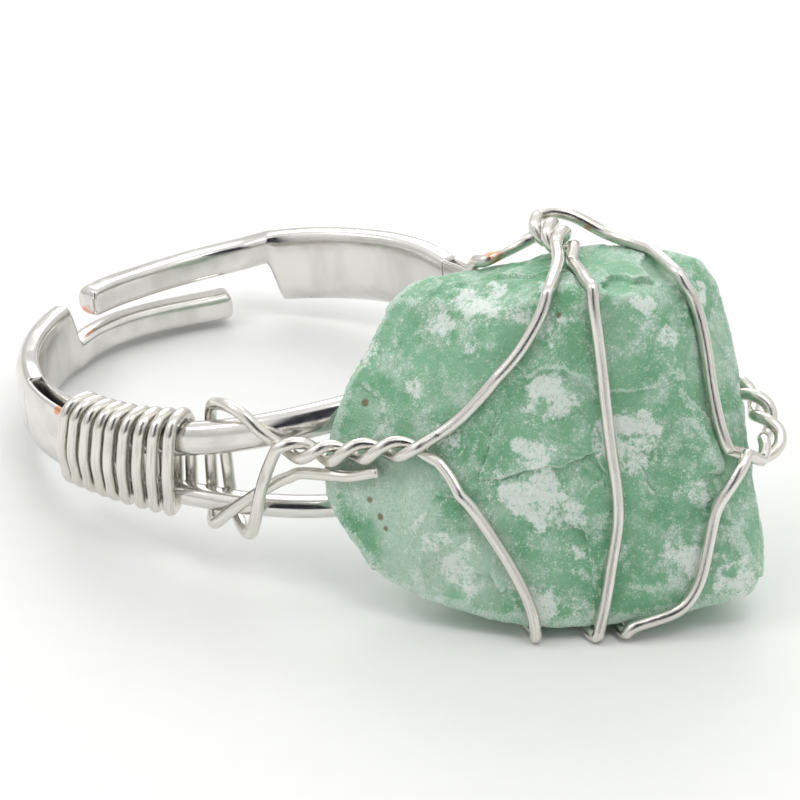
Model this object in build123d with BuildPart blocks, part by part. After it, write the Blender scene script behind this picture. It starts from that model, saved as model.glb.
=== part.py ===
from build123d import *
import os
from math import cos, pi, radians, sin

# Driving dimensions, in millimetres and degrees
BORE = 18.0              # finger hole, across
METAL = 1.1              # band's metal, from the finger outwards
BAND_TALL = 3.0          # band's width, along the finger
BAND_CORNER = 0.38       # rounding of the band's edges
UPPER_SHARE = 0.417      # upper tongue's width, as a share of BAND_TALL
LOWER_SHARE = 0.383      # lower tongue's width, as a share of BAND_TALL
PRONG_THICK = 1.0        # a prong of the fork, from the finger outwards
UPPER_PRONG_TALL = 1.33  # upper prong, along the finger
LOWER_PRONG_TALL = 0.85  # lower prong, along the finger
PRONG_CORNER = 0.40      # rounding of a prong
FORK_TURN = 100.0        # turn from the stone at which an arm splits into its prongs
LEFT_SHOULDER = 212.5    # turn at which the left arm narrows to the lower tongue
LOWER_TIP = 163.3        # turn of the lower tongue's tip
RIGHT_SHOULDER = 152.0   # turn at which the right arm narrows to the upper tongue
UPPER_TIP = 203.5        # turn of the upper tongue's tip
FORK_SPLIT = 0.16        # slot at the start of the fork
FORK_NARROW = 0.87       # half the prongs' distance, at the coils
FORK_WIDE = 1.97         # half the prongs' distance, behind the stone
FORK_BULGE = 1.5         # how far the prongs stand out from the round, behind the stone
WIRE = 0.48              # wire of the coils and of the cage, across
GAP = 0.05               # clearance between wire and what it lies on
COIL_TURNS = 9
COIL_LEAN = 1.1          # degrees that a turn's top stands nearer to the stone than its middle
COIL_BULGE = 0.18        # how far the middle of a turn's outer side stands out
COIL_NEAR = 45.5         # turn from the stone at which a coil ends
COIL_FAR = 78.0          # turn from the stone at which a coil starts
STONE_REACH = 8.3        # half of the stone's width
STONE_SWING = -25.0      # turn of the stone's broad side from the fork's middle
STONE_NOD = 22.0         # lift of the stone's broad side
SEAT_TURN = -12.0        # turn at which the stone's back rests against the upper prong
SEAT_TILT = 15.0         # how far that seat leans back
SEAT_GAP = 0.12          # clearance between stone and prong
RAISED = 9.38            # how far the stone's side of the ring is raised from the table
RAISED_TURN = 12.5       # turn of the point that is raised most
FLOOR_SKIN = 0.07        # from the stone's flat underside to the wires that pass under it

# Sizes that follow from them
middle_radius = BORE / 2 + METAL / 2
wire_stand = WIRE / 2 + GAP
strand_radius = WIRE / 2 + GAP
out_reach = PRONG_THICK / 2 + wire_stand
root_tall = (0.94 * BAND_TALL - FORK_SPLIT) / 2
floor_depth = (BORE / 2 + METAL) * sin(radians(RAISED)) + BAND_TALL / 2 * cos(radians(RAISED))

# Band's two arms, from the fork to the tongues' tips. along is the share of the way from one named
# turn to the next; outwards and level are shares of METAL and BAND_TALL, added to the band's middle;
# thick is a share of METAL, tall of the piece's own height.
LEFT_ARM = [
    # along, outwards, level, thick, tall
    (0.000, 0.00, 0.00, 1.00, 0.94),
    (0.126, 0.00, 0.00, 1.00, 1.00),
    (0.358, 0.00, 0.00, 1.00, 1.00),
    (0.590, 0.00, 0.00, 1.00, 1.00),
    (0.800, 0.00, 0.00, 1.00, 1.00),
    (1.000, 0.00, 0.00, 1.00, 1.00),
]
LOWER_TONGUE = [
    # along, outwards, level, thick, tall
    (0.000, 0.00, -0.300, 1.00, 1.00),
    (0.193, 0.02, -0.250, 1.10, 1.00),
    (0.376, -0.06, -0.240, 1.20, 1.00),
    (0.559, -0.17, -0.255, 1.25, 1.00),
    (0.742, -0.23, -0.280, 1.25, 1.00),
    (0.904, -0.19, -0.300, 1.25, 1.00),
    (0.976, -0.15, -0.300, 1.13, 0.92),
    (1.000, -0.13, -0.300, 0.82, 0.66),
]
RIGHT_ARM = [
    # along, outwards, level, thick, tall
    (0.000, 0.00, 0.000, 1.00, 0.94),
    (0.115, 0.01, 0.050, 1.00, 1.00),
    (0.346, 0.05, 0.110, 1.00, 1.02),
    (0.577, 0.10, 0.120, 1.00, 1.02),
    (0.788, 0.14, 0.120, 1.05, 1.02),
    (1.000, 0.20, 0.110, 1.10, 1.00),
]
UPPER_TONGUE = [
    # along, outwards, level, thick, tall
    (0.000, 0.20, 0.385, 1.10, 1.00),
    (0.155, 0.36, 0.300, 1.08, 1.00),
    (0.311, 0.42, 0.255, 1.05, 1.00),
    (0.485, 0.38, 0.235, 1.02, 1.00),
    (0.680, 0.28, 0.245, 1.00, 1.00),
    (0.854, 0.16, 0.275, 1.00, 1.00),
    (0.961, 0.10, 0.285, 0.95, 0.96),
    (1.000, 0.08, 0.285, 0.62, 0.64),
]
PRONG_STATIONS = [0.10, 0.20, 0.29, 0.38, 0.48, 0.60, 0.74, 0.88, 1.02]     # shares of FORK_TURN

# Uncut stone, as flat broken faces round its middle. Heading goes round its outline from the
# right upwards; reach and forward are shares of STONE_REACH; each row is a front and a back face.
STONE_SIDES = [
    # heading, reach, forward, front lean, back lean
    (2, 0.920, 0.00, 34, 22),
    (5, 0.915, -0.01, 37, 16),
    (24, 1.045, -0.02, 36, 28),
    (70, 0.980, -0.05, 26, 30),
    (86, 0.865, -0.07, 20, 22),
    (94, 0.820, -0.07, 17, 26),
    (108, 0.915, -0.06, 32, 20),
    (144, 0.970, -0.04, 50, 26),
    (159, 0.965, 0.00, 57, 18),
    (172, 1.010, 0.00, 62, 20),
    (204, 0.980, 0.00, 52, 20),
    (231, 0.955, 0.05, 61, 30),
    (250, 0.860, 0.11, 50, 34),
    (264, 0.865, 0.16, 36, 30),
    (274, 0.885, 0.12, 26, 26),
    (298, 1.100, 0.06, 30, 30),
    (344, 1.080, 0.02, 36, 24),
]
STONE_FACES = [
    # turn, rise, reach
    (-21, 7, 0.34),
    (-40, 24, 0.46),
    (158, -18, 0.60),
]

# Wires of the cage. A point on the stone is seen from the stone's middle: turn to the right, rise
# upwards, and how many wire widths it stands off. A point at the prongs has its turn from the stone,
# and its place outwards and upwards in shares of the way round both prongs.
LEFT_LOWER_HOOK = [
    # turn, outwards, upwards
    (-36.9, -1.10, 0.30),
    (-36.9, -1.10, -0.15),
    (-36.8, -1.10, -0.62),
    (-36.2, -1.05, -0.90),
    (-35.2, -0.55, -1.06),
    (-33.6, 0.35, -1.12),
    (-31.8, 1.25, -1.04),
    (-30.4, 1.72, -0.70),
    (-29.4, 1.80, -0.34),
    (-28.4, 1.78, -0.04),
    (-27.1, 1.68, 0.22),
]
LEFT_TAIL_END = [
    # turn, rise, lift
    (-77, -4, 0.1),
    (-83, -4, 0.0),
    (-86, -3, 0.0),
]
LEFT_UPPER_HOOK = [
    # turn, outwards, upwards
    (-21.2, 1.56, 0.08),
    (-23.4, 1.27, 0.00),
    (-26.2, 1.06, -0.12),
    (-31.2, 1.02, -0.40),
    (-35.6, 1.02, -0.70),
    (-38.6, 0.92, -0.97),
    (-40.2, 0.10, -1.05),
    (-41.0, -0.92, -0.97),
    (-41.0, -1.05, -0.50),
    (-40.6, -1.05, 0.10),
    (-39.8, -1.05, 0.62),
    (-38.8, -0.90, 1.00),
    (-36.6, -0.25, 1.14),
    (-33.6, 0.45, 1.16),
    (-30.6, 0.90, 1.02),
    (-27.8, 1.12, 0.76),
]
LEFT_TWIST_START = (-24.6, 1.41, 0.50)
LEFT_TWIST = [
    # turn, rise, lift
    (-85, 3, 0.7),
    (-77, 3, 0.7),
    (-68, 3, 0.7),
    (-61, 2, 0.7),
]
FIRST_WIRE = [
    # turn, rise, lift
    (-56, 8, 0.3),
    (-47, 15, 0.0),
    (-32, 27, 0.0),
    (-16, 38, 0.0),
    (-5, 45, 0.0),
    (5, 51, 0.0),
    (11, 58, 0.0),
    (18, 64, 0.3),
    (27, 70, 0.7),
]
TOP_TWIST = [
    # turn, rise, lift
    (50, 75, 1.0),
    (72, 81, 1.4),
    (132, 84, 1.8),
]
LOOP_WIRE = [
    # turn, rise, lift
    (145, 83, 2.5),
    (124, 81, 2.7),
    (110, 76, 2.1),
    (104, 71, 1.1),
    (100, 66, 0.3),
    (87, 58, 0.0),
    (76, 51, 0.0),
    (68, 43, 0.0),
    (72, 34, 0.0),
    (73, 23, 0.0),
    (72, 10, 0.0),
    (73, -3, 0.0),
    (75, -9, 0.0),
]
RIGHT_TWIST = [
    # turn, rise, lift
    (82, -11, 0.7),
    (86, -9, 0.8),
    (90, -6, 1.0),
    (94, -2, 1.3),
    (98, 2, 1.5),
    (103, 6, 1.2),
    (111, 9, 0.95),
    (122, 12, 0.85),
]
RIGHT_TWIST_END = (31.0, 1.70, 0.10)
RIGHT_UPPER_HOOK = [
    # turn, outwards, upwards
    (34.0, 1.05, 0.72),
    (36.0, 0.85, 1.00),
    (37.5, 0.10, 1.05),
    (38.6, -0.88, 0.98),
    (39.2, -1.05, 0.60),
    (39.4, -1.05, 0.25),
]
RIGHT_LOWER_HOOK = [
    # turn, outwards, upwards
    (34.0, 1.05, -0.62),
    (36.0, 0.90, -0.97),
    (37.5, 0.10, -1.05),
    (38.6, -0.88, -0.98),
    (39.2, -1.05, -0.60),
    (39.4, -1.05, -0.30),
]
SECOND_WIRE = [
    # turn, rise, lift
    (-57, -4, 0.1),
    (-54, -9, 0.0),
    (-48, -22, 0.0),
    (-45, -41, 0.0),
    (-42, -55, 0.0),
    (-39, -66, 0.0),
    (-38, -72, 0.0),
    (-42, -76, 0.0),
    (-52, -78, 0.0),
    (-70, -78, 0.0),
    (-112, -72, 0.0),
    (-140, -58, 0.0),
    (-152, -38, 0.0),
    (-158, -14, 0.0),
    (-160, 12, 0.0),
    (-156, 38, 0.0),
    (-146, 58, 0.0),
    (-122, 70, 0.0),
    (-95, 78, 0.1),
    (-140, 83, 0.4),
    (170, 84, 0.9),
]
THIRD_WIRE = [
    # turn, rise, lift
    (43, 70, 0.0),
    (35, 63, 0.0),
    (27, 53, 0.0),
    (25, 46, 0.0),
    (29, 35, 0.0),
    (32, 22, 0.0),
    (36, -1, 0.0),
    (43, -32, 0.0),
    (46, -47, 0.0),
    (46, -63, 0.0),
    (46, -73, 0.0),
    (43, -79, 0.0),
    (52, -83, 0.0),
    (118, -86, 0.0),
    (143, -81, 0.0),
    (122, -77, 0.0),
    (100, -76, 0.0),
    (80, -75, 0.0),
    (62, -72, 0.0),
    (71, -65, 0.0),
    (76, -57, 0.0),
    (76, -49, 0.0),
    (74, -39, 0.0),
    (72, -28, 0.0),
    (71, -20, 0.3),
    (72, -14, 1.1),
    (75, -10, 1.3),
]

# How the two wires wind round each other in the three twists: where the first wire starts, in turns
# from the top, how many turns it makes, and how far apart they are, in shares of touching wires
LEFT_WINDING = (-0.22, 2.06, 1.0)
TOP_WINDING = (0.0, -1.20, 1.25)
RIGHT_WINDING = (0.25, 4.75, 1.14)

# Fineness of the faceted wires
WIRE_SIDES = 6
WIRE_STEP = 0.42         # length of one facet along a wire
COIL_CORNER_STEPS = 3    # facets in each corner of a coil's turn

# The ring lies on its side on the table, with the stone's side raised
lean = Axis((0, 0, 0), (-cos(radians(RAISED_TURN)), -sin(radians(RAISED_TURN)), 0))
ring_plane = Plane(
    origin=(0, 0, 0),
    x_dir=Vector(1, 0, 0).rotate(lean, RAISED),
    z_dir=Vector(0, 0, 1).rotate(lean, RAISED),
)


def outwards(turn):
    """Unit vector from the finger hole's axis, at a turn from the stone's side."""
    return Vector(sin(radians(turn)), -cos(radians(turn)), 0)


def toward(turn, rise):
    """Unit vector at a turn from the stone's side, lifted by rise."""
    return outwards(turn) * cos(radians(rise)) + Vector(0, 0, 1) * sin(radians(rise))


def in_place(point):
    """A point of the ring's own frame, where it is on the table."""
    return ring_plane.from_local_coords(point)


def band_section(turn, radius, level):
    """Plane square to the band, with x outwards and y along the finger."""
    middle = in_place(outwards(turn) * radius + Vector(0, 0, level))
    along = Vector(-cos(radians(turn)), -sin(radians(turn)), 0)
    return Plane(origin=middle, x_dir=in_place(outwards(turn)), z_dir=in_place(along))


def prong_radius(turn):
    """Radius of the prongs' middle line, which bulges behind the stone."""
    return middle_radius + FORK_BULGE * max(0.0, cos(radians(turn))) ** 2


def gathered(turn):
    """How far the prongs have run together into an arm, from 0 at the coil to 1 at the fork's start."""
    return min(1.0, max(0.0, abs(turn) - COIL_FAR) / (FORK_TURN - COIL_FAR))


def prong_spread(turn):
    """Half the distance between the prongs' middle lines."""
    opening = max(0.0, cos(radians(90 * turn / FORK_TURN))) ** 5
    narrow = FORK_NARROW + ((FORK_SPLIT + root_tall) / 2 - FORK_NARROW) * gathered(turn)
    return narrow + (FORK_WIDE - FORK_NARROW) * opening


def prong_tall(turn, side):
    """Height of the upper prong, side 1, or of the lower one, side -1."""
    own = UPPER_PRONG_TALL if side > 0 else LOWER_PRONG_TALL
    return own + (root_tall - own) * gathered(turn)


def prong_edge(turn, side):
    """How far a wire's middle lies above or below the band's middle where it passes over a prong."""
    return prong_spread(turn) + prong_tall(turn, side) / 2 + wire_stand


# Band
right_stations = [share * FORK_TURN for share in PRONG_STATIONS]
prong_turns = [-turn for turn in reversed(right_stations)] + [0] + right_stations
arms = [
    (LEFT_ARM, 360 - FORK_TURN, LEFT_SHOULDER, BAND_TALL),
    (LOWER_TONGUE, LEFT_SHOULDER, LOWER_TIP, LOWER_SHARE * BAND_TALL),
    (RIGHT_ARM, FORK_TURN, RIGHT_SHOULDER, BAND_TALL),
    (UPPER_TONGUE, RIGHT_SHOULDER, UPPER_TIP, UPPER_SHARE * BAND_TALL),
]
with BuildPart() as ring_band:
    for rows, start_turn, end_turn, full_height in arms:
        for along, out, level, thick, tall in rows:
            turn = start_turn + (end_turn - start_turn) * along
            radius = middle_radius + out * METAL
            height = tall * full_height
            corner = min(BAND_CORNER, 0.45 * thick * METAL, 0.45 * height)
            with BuildSketch(band_section(turn, radius, level * BAND_TALL)):
                RectangleRounded(thick * METAL, height, corner)
        loft()
    for side in (-1, 1):
        for turn in prong_turns:
            corner = min(PRONG_CORNER, 0.49 * prong_tall(turn, side))
            with BuildSketch(band_section(turn, prong_radius(turn), side * prong_spread(turn))):
                RectangleRounded(PRONG_THICK, prong_tall(turn, side), corner)
        loft()
ring_band.part.label = "ring_band"

# Stone: its own directions are across to the right, up, and out of its broad side
stone_out = toward(STONE_SWING, STONE_NOD)
stone_across = Vector(cos(radians(STONE_SWING)), sin(radians(STONE_SWING)), 0)
stone_up = stone_out.cross(stone_across)
stone_middle = Vector(
    0.48 * STONE_REACH,
    -(prong_radius(0) + 0.51 * STONE_REACH),
    0.06 * STONE_REACH,
)
stone_planes = []        # each broken face as its outward normal and its distance from the middle
for heading, reach, forward, front_lean, back_lean in STONE_SIDES:
    sideways = stone_across * cos(radians(heading)) + stone_up * sin(radians(heading))
    for lean_angle in (front_lean, -back_lean):
        normal = sideways * cos(radians(lean_angle)) + stone_out * sin(radians(lean_angle))
        distance = reach * cos(radians(lean_angle)) + forward * sin(radians(lean_angle))
        stone_planes.append((normal, distance * STONE_REACH))
for turn, rise, reach in STONE_FACES:
    stone_planes.append((toward(turn, rise), reach * STONE_REACH))
seat_normal = toward(SEAT_TURN, SEAT_TILT) * -1
seat_radius = prong_radius(SEAT_TURN) + PRONG_THICK / 2 + SEAT_GAP
seat_level = prong_spread(SEAT_TURN) + prong_tall(SEAT_TURN, 1) / 2
seat_point = outwards(SEAT_TURN) * seat_radius + Vector(0, 0, seat_level)
stone_planes.append((seat_normal, (seat_point - stone_middle).dot(seat_normal)))
table_normal = ring_plane.to_local_coords(Vector(0, 0, -1))
table_reach = floor_depth - WIRE - FLOOR_SKIN - stone_middle.dot(table_normal)
stone_planes.append((table_normal, table_reach))

with BuildPart(Plane(in_place(stone_middle))) as rough_stone:
    Box(4 * STONE_REACH, 4 * STONE_REACH, 4 * STONE_REACH)
    for normal, distance in stone_planes:
        face_plane = Plane(origin=in_place(stone_middle + normal * distance), z_dir=in_place(normal))
        split(bisect_by=face_plane, keep=Keep.BOTTOM)
rough_stone.part.label = "rough_stone"


def clear_of_stone(point, stand=wire_stand):
    """The point itself, or the nearest one straight out from the stone's middle that stands off it."""
    way = point - stone_middle
    reaches = [(distance + stand) / normal.dot(way) for normal, distance in stone_planes if normal.dot(way) > 0]
    return stone_middle + way * max(1.0, min(reaches))


def on_stone(turn, rise, lift):
    """A point that stands lift wire widths off the wire's seat on the stone."""
    level = stone_out * cos(radians(turn)) + stone_across * sin(radians(turn))
    way = level * cos(radians(rise)) + stone_up * sin(radians(rise))
    return clear_of_stone(stone_middle + way * GAP, wire_stand + lift * WIRE)


def at_prongs(turn, out, up):
    """A point beside the prongs, in shares of the way round both of them."""
    radius = prong_radius(turn) + out * out_reach
    return outwards(turn) * radius + Vector(0, 0, up * prong_edge(turn, 1 if up > 0 else -1))


def smooth_line(points, step=WIRE_STEP):
    """Points along a smooth line through the given ones, a step apart."""
    ends = [points[0] * 2 - points[1]] + points + [points[-1] * 2 - points[-2]]
    line = []
    for before, start, end, after in zip(ends, ends[1:], ends[2:], ends[3:]):
        count = max(1, round((end - start).length / step))
        for i in range(count):
            t = i / count
            line.append(
                (
                    start * 2
                    + (end - before) * t
                    + (before * 2 - start * 5 + end * 4 - after) * t**2
                    + (start * 3 - before - end * 3 + after) * t**3
                )
                * 0.5
            )
    return line + [points[-1]]


def twisted(axis_line, start, turns, apart):
    """One strand of a two-wire twist along a line; start and turns are in turns from the top."""
    lengths = [0.0]
    for a, b in zip(axis_line, axis_line[1:]):
        lengths.append(lengths[-1] + (b - a).length)
    strand = []
    for i, middle in enumerate(axis_line):
        along = axis_line[min(i + 1, len(axis_line) - 1)] - axis_line[max(i - 1, 0)]
        away = middle - stone_middle
        away = (away - along * (away.dot(along) / along.dot(along))).normalized()
        upwards = away.cross(along).normalized()
        angle = 2 * pi * (start + turns * lengths[i] / lengths[-1])
        strand.append(middle + (upwards * cos(angle) - away * sin(angle)) * strand_radius * apart)
    return strand


def wire_tube(line, sides=WIRE_SIDES, radius=WIRE / 2):
    """Solid wire with flat facets round a line of points, its rings carried along without twisting."""
    line = [in_place(point) for point in line]
    last = len(line) - 1
    across = None
    rings = []
    for i, middle in enumerate(line):
        along = (line[min(i + 1, last)] - line[max(i - 1, 0)]).normalized()
        if across is None:
            across = along.cross(Vector(0, 0, 1) if abs(along.Z) < 0.9 else Vector(1, 0, 0))
        across = (across - along * across.dot(along)).normalized()
        up = along.cross(across)
        angles = [2 * pi * k / sides for k in range(sides)]
        rings.append([middle + (across * cos(a) + up * sin(a)) * radius for a in angles])
    faces = [Face(Wire.make_polygon(ring)) for ring in (rings[0], rings[-1])]
    for ring, following in zip(rings, rings[1:]):
        for k in range(sides):
            n = (k + 1) % sides
            faces.append(Face(Wire.make_polygon([ring[k], ring[n], following[n]])))
            faces.append(Face(Wire.make_polygon([ring[k], following[n], following[k]])))
    return Solid(Shell(faces))


def lying(rows, passes=2):
    """Line of a wire pulled tight over the stone, with its sharp bends eased."""
    line = smooth_line([on_stone(*row) for row in rows])
    for _ in range(passes):
        eased = [(a + b * 2 + c) * 0.25 for a, b, c in zip(line, line[1:], line[2:])]
        line = [line[0]] + [clear_of_stone(point) for point in eased] + [line[-1]]
    return line


# Coils: each turn goes round both prongs as a rounded rectangle
def coil_points(side):
    """Points of a coil, as corners of the rounded rectangle turned by equal steps. It starts and ends on the
    finger's side; its outer side bulges, and each turn leans a little towards the stone at its top."""
    corner_radius = PRONG_CORNER + wire_stand
    quarter = [90 * k / (COIL_CORNER_STEPS - 1) for k in range(COIL_CORNER_STEPS)]
    corners = [(-1, -1, 180), (1, -1, 270), (1, 0, 360), (1, 1, 360), (-1, 1, 450)]
    per_turn = [(sx, sy, start + angle) for sx, sy, start in corners for angle in (quarter if sy else [0])]
    total = COIL_TURNS * len(per_turn)
    points = []
    for i in range(total + 1):
        sx, sy, angle = per_turn[i % len(per_turn)]
        turn = COIL_FAR + (COIL_NEAR - COIL_FAR) * i / total
        edge = prong_edge(turn, sy or 1)
        corner = corner_radius if sy else 0.0
        out = sx * (out_reach - corner_radius) + corner_radius * cos(radians(angle))
        up = sy * (edge - corner) + corner * sin(radians(angle))
        out += COIL_BULGE * (1 - abs(sy))
        turn = side * (turn - COIL_LEAN * up / edge)
        points.append(outwards(turn) * (prong_radius(turn) + out) + Vector(0, 0, up))
    return points


with BuildPart() as left_coil:
    add(wire_tube(coil_points(-1)))
left_coil.part.label = "left_coil"

with BuildPart() as right_coil:
    add(wire_tube(coil_points(1)))
right_coil.part.label = "right_coil"

# Cage: two wires, twisted round each other at the left, on top and at the right of the stone
left_axis = smooth_line([at_prongs(*LEFT_TWIST_START)] + [on_stone(*row) for row in LEFT_TWIST])
top_axis = smooth_line([on_stone(*row) for row in TOP_TWIST])
right_axis = smooth_line([on_stone(*row) for row in RIGHT_TWIST] + [at_prongs(*RIGHT_TWIST_END)])


def strands(axis_line, winding):
    """Both strands of a twist, the first wire's and the second wire's."""
    start, turns, apart = winding
    return twisted(axis_line, start, turns, apart), twisted(axis_line, start + 0.5, turns, apart)


left_first, left_second = strands(left_axis, LEFT_WINDING)
top_first, top_second = strands(top_axis, TOP_WINDING)
right_first, right_second = strands(right_axis, RIGHT_WINDING)

outer_line = smooth_line(
    [at_prongs(*row) for row in LEFT_LOWER_HOOK]
    + left_first
    + lying(FIRST_WIRE)
    + top_first
    + lying(LOOP_WIRE)
    + right_first
    + [at_prongs(*row) for row in RIGHT_UPPER_HOOK]
)
inner_line = smooth_line(
    [on_stone(*row) for row in LEFT_TAIL_END]
    + [at_prongs(*row) for row in LEFT_UPPER_HOOK]
    + left_second
    + lying(SECOND_WIRE)
    + top_second[::-1]
    + lying(THIRD_WIRE)
    + right_second
    + [at_prongs(*row) for row in RIGHT_LOWER_HOOK]
)

with BuildPart() as outer_wire:
    add(wire_tube(outer_line))
outer_wire.part.label = "outer_wire"

with BuildPart() as inner_wire:
    add(wire_tube(inner_line))
inner_wire.part.label = "inner_wire"

os.makedirs("parts", exist_ok=True)
export_step(ring_band.part, "parts/ring_band.step")
export_step(left_coil.part, "parts/left_coil.step")
export_step(right_coil.part, "parts/right_coil.step")
export_step(rough_stone.part, "parts/rough_stone.step")
export_step(outer_wire.part, "parts/outer_wire.step")
export_step(inner_wire.part, "parts/inner_wire.step")
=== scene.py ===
# %% [markdown]
# # A wire wrapped ring with an uncut green stone
# The ring lies on its side on a white table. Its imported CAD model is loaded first, as a fixed frame that
# gives the true sizes and places. Every piece is then made again around it as a fine surface: the plated
# band, the two coils, the two wires that cage the stone, and the stone itself.

from math import pi, radians

import bmesh
import bpy
import numpy as np
from mathutils import Matrix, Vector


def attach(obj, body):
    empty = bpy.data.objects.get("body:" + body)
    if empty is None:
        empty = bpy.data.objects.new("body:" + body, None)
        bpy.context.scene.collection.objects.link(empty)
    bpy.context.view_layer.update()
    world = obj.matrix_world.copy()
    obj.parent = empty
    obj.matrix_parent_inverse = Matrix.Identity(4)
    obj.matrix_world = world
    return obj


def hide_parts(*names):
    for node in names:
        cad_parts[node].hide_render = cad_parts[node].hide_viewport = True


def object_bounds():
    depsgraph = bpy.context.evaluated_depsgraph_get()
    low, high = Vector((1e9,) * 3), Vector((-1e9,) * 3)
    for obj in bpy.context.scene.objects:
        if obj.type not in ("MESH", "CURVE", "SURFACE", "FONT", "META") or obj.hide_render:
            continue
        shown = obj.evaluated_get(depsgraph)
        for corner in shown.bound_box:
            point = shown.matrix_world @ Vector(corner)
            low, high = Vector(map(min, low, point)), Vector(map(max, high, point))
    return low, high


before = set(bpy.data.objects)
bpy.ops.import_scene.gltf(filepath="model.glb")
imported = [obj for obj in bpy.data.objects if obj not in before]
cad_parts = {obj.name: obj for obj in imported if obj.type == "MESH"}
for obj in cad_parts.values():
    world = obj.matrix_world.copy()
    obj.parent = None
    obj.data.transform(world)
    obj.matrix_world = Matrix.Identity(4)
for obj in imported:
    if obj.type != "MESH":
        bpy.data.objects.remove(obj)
cad_low, cad_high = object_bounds()
print("frame holds", sorted(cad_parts))

# %% [markdown]
# ## The ring's own directions
# A ring is easiest to describe round its finger hole: a turn from the middle of the fork that carries the
# stone, a radius, and a level along the finger. The sizes below are the real ones in millimetres. One
# rotation then leans the whole ring back on the table, and one scale turns millimetres into metres.

# %% Sizes and the lean on the table
MM = 0.001
BORE, METAL, BAND_TALL = 18.0, 1.1, 3.0
UPPER_SHARE, LOWER_SHARE = 0.417, 0.383
PRONG_THICK, UPPER_PRONG_TALL, LOWER_PRONG_TALL = 1.0, 1.33, 0.85
FORK_TURN, FORK_SPLIT, FORK_NARROW, FORK_WIDE, FORK_BULGE = 100.0, 0.16, 0.87, 1.97, 1.5
WIRE, GAP = 0.48, 0.05
RAISED, RAISED_TURN = 9.38, 12.5
UPWARD = np.array([0.0, 0.0, 1.0])

middle_radius = BORE / 2 + METAL / 2
wire_stand = WIRE / 2 + GAP
out_reach = PRONG_THICK / 2 + wire_stand
root_tall = (0.94 * BAND_TALL - FORK_SPLIT) / 2
lean_axis = (-np.cos(radians(RAISED_TURN)), -np.sin(radians(RAISED_TURN)), 0.0)
lean = np.array(Matrix.Rotation(radians(RAISED), 3, lean_axis))


def unit(vectors):
    """The same directions with length 1."""
    return vectors / np.linalg.norm(vectors, axis=-1, keepdims=True)


def outwards(turn):
    """Unit vectors away from the finger hole's axis: (sine of the turn, minus its cosine, 0)."""
    turn = np.radians(turn)
    return np.stack([np.sin(turn), -np.cos(turn), np.zeros_like(turn)], -1)


def toward(turn, rise):
    """Unit vectors at a turn from the stone's side, lifted from the ring's plane by rise."""
    rise = np.radians(rise)
    level = np.multiply(outwards(np.asarray(turn, float)), np.cos(rise)[..., None])
    return level + np.sin(rise)[..., None] * UPWARD


def on_table(points):
    """Points of the ring in millimetres, leaned back and in metres."""
    return points @ lean.T * MM


print("middle of the metal at radius", middle_radius, "mm")

# %% [markdown]
# ## The camera
# The photograph was taken from a little above, with a long lens. A long lens flattens the picture, so the
# camera stands 200 mm away and sees an angle of only nine degrees. It aims past the finger hole, so that
# the ring sits left of the middle and the stone right of it, with no lens shift.

# %% Camera
CAMERA_TURN, CAMERA_RISE, CAMERA_AWAY = -27.5, 29.44, 0.200
FOCAL_PIXELS, PICTURE_PIXELS = 5009.0, 800.0
HOLE_PIXEL = (269.3, 360.8)

camera_way = toward(np.array(CAMERA_TURN), np.array(CAMERA_RISE))
sight_right = np.array([np.cos(radians(CAMERA_TURN)), np.sin(radians(CAMERA_TURN)), 0.0])
sight_up = np.cross(camera_way, sight_right)
aside = (PICTURE_PIXELS / 2 - HOLE_PIXEL[0]) / FOCAL_PIXELS
below = (PICTURE_PIXELS / 2 - HOLE_PIXEL[1]) / FOCAL_PIXELS
aim = -camera_way + aside * sight_right - below * sight_up
aim /= np.linalg.norm(aim)
picture_right = sight_right - (sight_right @ aim) * aim
picture_right /= np.linalg.norm(picture_right)

camera = bpy.data.objects.new("camera", bpy.data.cameras.new("camera"))
bpy.context.scene.collection.objects.link(camera)
camera.data.sensor_width = 36.0
camera.data.lens = FOCAL_PIXELS / PICTURE_PIXELS * camera.data.sensor_width
camera.data.clip_start, camera.data.clip_end = 0.01, 10.0
turned = Matrix(np.stack([picture_right, np.cross(picture_right, aim), -aim], 1).tolist())
camera.matrix_world = Matrix.Translation(camera_way * CAMERA_AWAY) @ turned.to_4x4()
bpy.context.scene.camera = camera
print("lens", round(camera.data.lens, 1), "mm")

# %% [markdown]
# ## Light and finishes as nodes
# Light and finishes are both made of nodes here. A few helpers keep them short: a new node with its values,
# a link, a smooth change of range, and a mix of two colours.

# %% Node helpers
def node(tree, kind, **values):
    """A new node of a tree. Values are set on its inputs by name or, where it has no such input, on itself."""
    made = tree.nodes.new(kind)
    for name, value in values.items():
        socket = made.inputs.get(name.replace("_", " "))
        if socket is not None and not hasattr(made, name):
            socket.default_value = value
        else:
            setattr(made, name, value)
    return made


def join(tree, source, target, output=0, socket=0):
    """Links one node's output to another's input, each by name or place."""
    tree.links.new(source.outputs[output], target.inputs[socket])


def ranged(tree, source, low, high, to_low=0.0, to_high=1.0, output=0, shape="SMOOTHSTEP"):
    """Maps a value from the range low to high onto another, by a smooth step or in a straight line."""
    made = node(tree, "ShaderNodeMapRange", interpolation_type=shape)
    for socket, value in (("From Min", low), ("From Max", high), ("To Min", to_low), ("To Max", to_high)):
        made.inputs[socket].default_value = value
    join(tree, source, made, output)
    return made


def tinted(tree, factor, below, above):
    """Colour mixed from a colour or a node's colour to another, by a node's value."""
    made = node(tree, "ShaderNodeMix", data_type="RGBA")
    join(tree, factor, made)
    for socket, colour in ((6, below), (7, above)):
        if isinstance(colour, tuple):
            made.inputs[socket].default_value = colour
        else:
            join(tree, colour, made, 2, socket)
    return made


def new_finish(name):
    """A new node material, with its tree and its shader."""
    material = bpy.data.materials.new(name)
    material.use_nodes = True
    return material, material.node_tree, material.node_tree.nodes["Principled BSDF"]


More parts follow.
